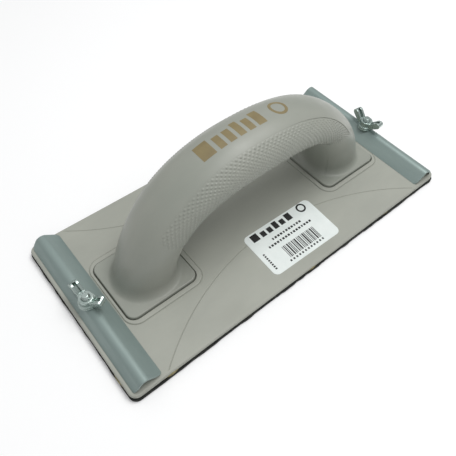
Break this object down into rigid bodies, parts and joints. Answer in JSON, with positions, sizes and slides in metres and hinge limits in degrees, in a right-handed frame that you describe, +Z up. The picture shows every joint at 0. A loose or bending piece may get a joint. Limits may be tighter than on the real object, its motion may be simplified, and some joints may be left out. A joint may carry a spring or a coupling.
{
  "type": "sanding block",
  "caption": "Hand sanding block: flat moulded plate with a black sole, an arched handle, and a sheet-metal clamp at each end drawn down by a wing nut.",
  "frame": {"origin": "middle of the sole's underside", "axes": "+X along the length towards the right clamp, +Y across the block to the side away from the label, +Z up out of the plate"},
  "size_m": [0.21, 0.1, 0.0666],
  "materials": {
    "sole_rubber": "matt black sheet",
    "glue": "dried contact glue",
    "plate_plastic": "satin moulded plastic, warm grey",
    "handle_plastic": "satin moulded plastic, warm grey",
    "zinc_sheet": "zinc-plated sheet steel, satin, blue-green cast",
    "zinc_hardware": "bright zinc plating",
    "label_film": "white printed film, semi-gloss"
  },
  "bodies": {
    "block": {"sole_pad": "sole_rubber", "pad_adhesive": "glue", "base_plate": "plate_plastic", "handle_shell": "handle_plastic", "handle_liner": "handle_plastic", "handle_screw_1": "zinc_hardware", "handle_screw_2": "zinc_hardware", "handle_screw_3": "zinc_hardware", "handle_screw_4": "zinc_hardware", "clamp_bolt_left": "zinc_hardware", "clamp_bolt_right": "zinc_hardware", "product_label": "label_film"},
    "left_clamp": {"clamp_left": "zinc_sheet", "washer_left": "zinc_hardware"},
    "right_clamp": {"clamp_right": "zinc_sheet", "washer_right": "zinc_hardware"},
    "left_wing_nut": {"wing_nut_left": "zinc_hardware"},
    "right_wing_nut": {"wing_nut_right": "zinc_hardware"}
  },
  "joints": [
    {"name": "left_clamp_lift", "type": "slide", "parent": "block", "child": "left_clamp", "axis": [0, 0, 1], "range_m": [0, 0.0035]},
    {"name": "right_clamp_lift", "type": "slide", "parent": "block", "child": "right_clamp", "axis": [0, 0, 1], "range_m": [0, 0.0035]},
    {"name": "left_nut_spin", "type": "hinge", "parent": "left_clamp", "child": "left_wing_nut", "pos_m": [-0.0964, 0, 0.0115], "axis": [0, 0, 1], "range_deg": [0, 1800]},
    {"name": "right_nut_spin", "type": "hinge", "parent": "right_clamp", "child": "right_wing_nut", "pos_m": [0.0964, 0, 0.0115], "axis": [0, 0, 1], "range_deg": [0, 1800]}
  ],
  "couplings": [
    {"joint": "left_nut_spin", "follows": "left_clamp_lift", "rad_per_m": 8976},
    {"joint": "right_nut_spin", "follows": "right_clamp_lift", "rad_per_m": 8976}
  ]
}
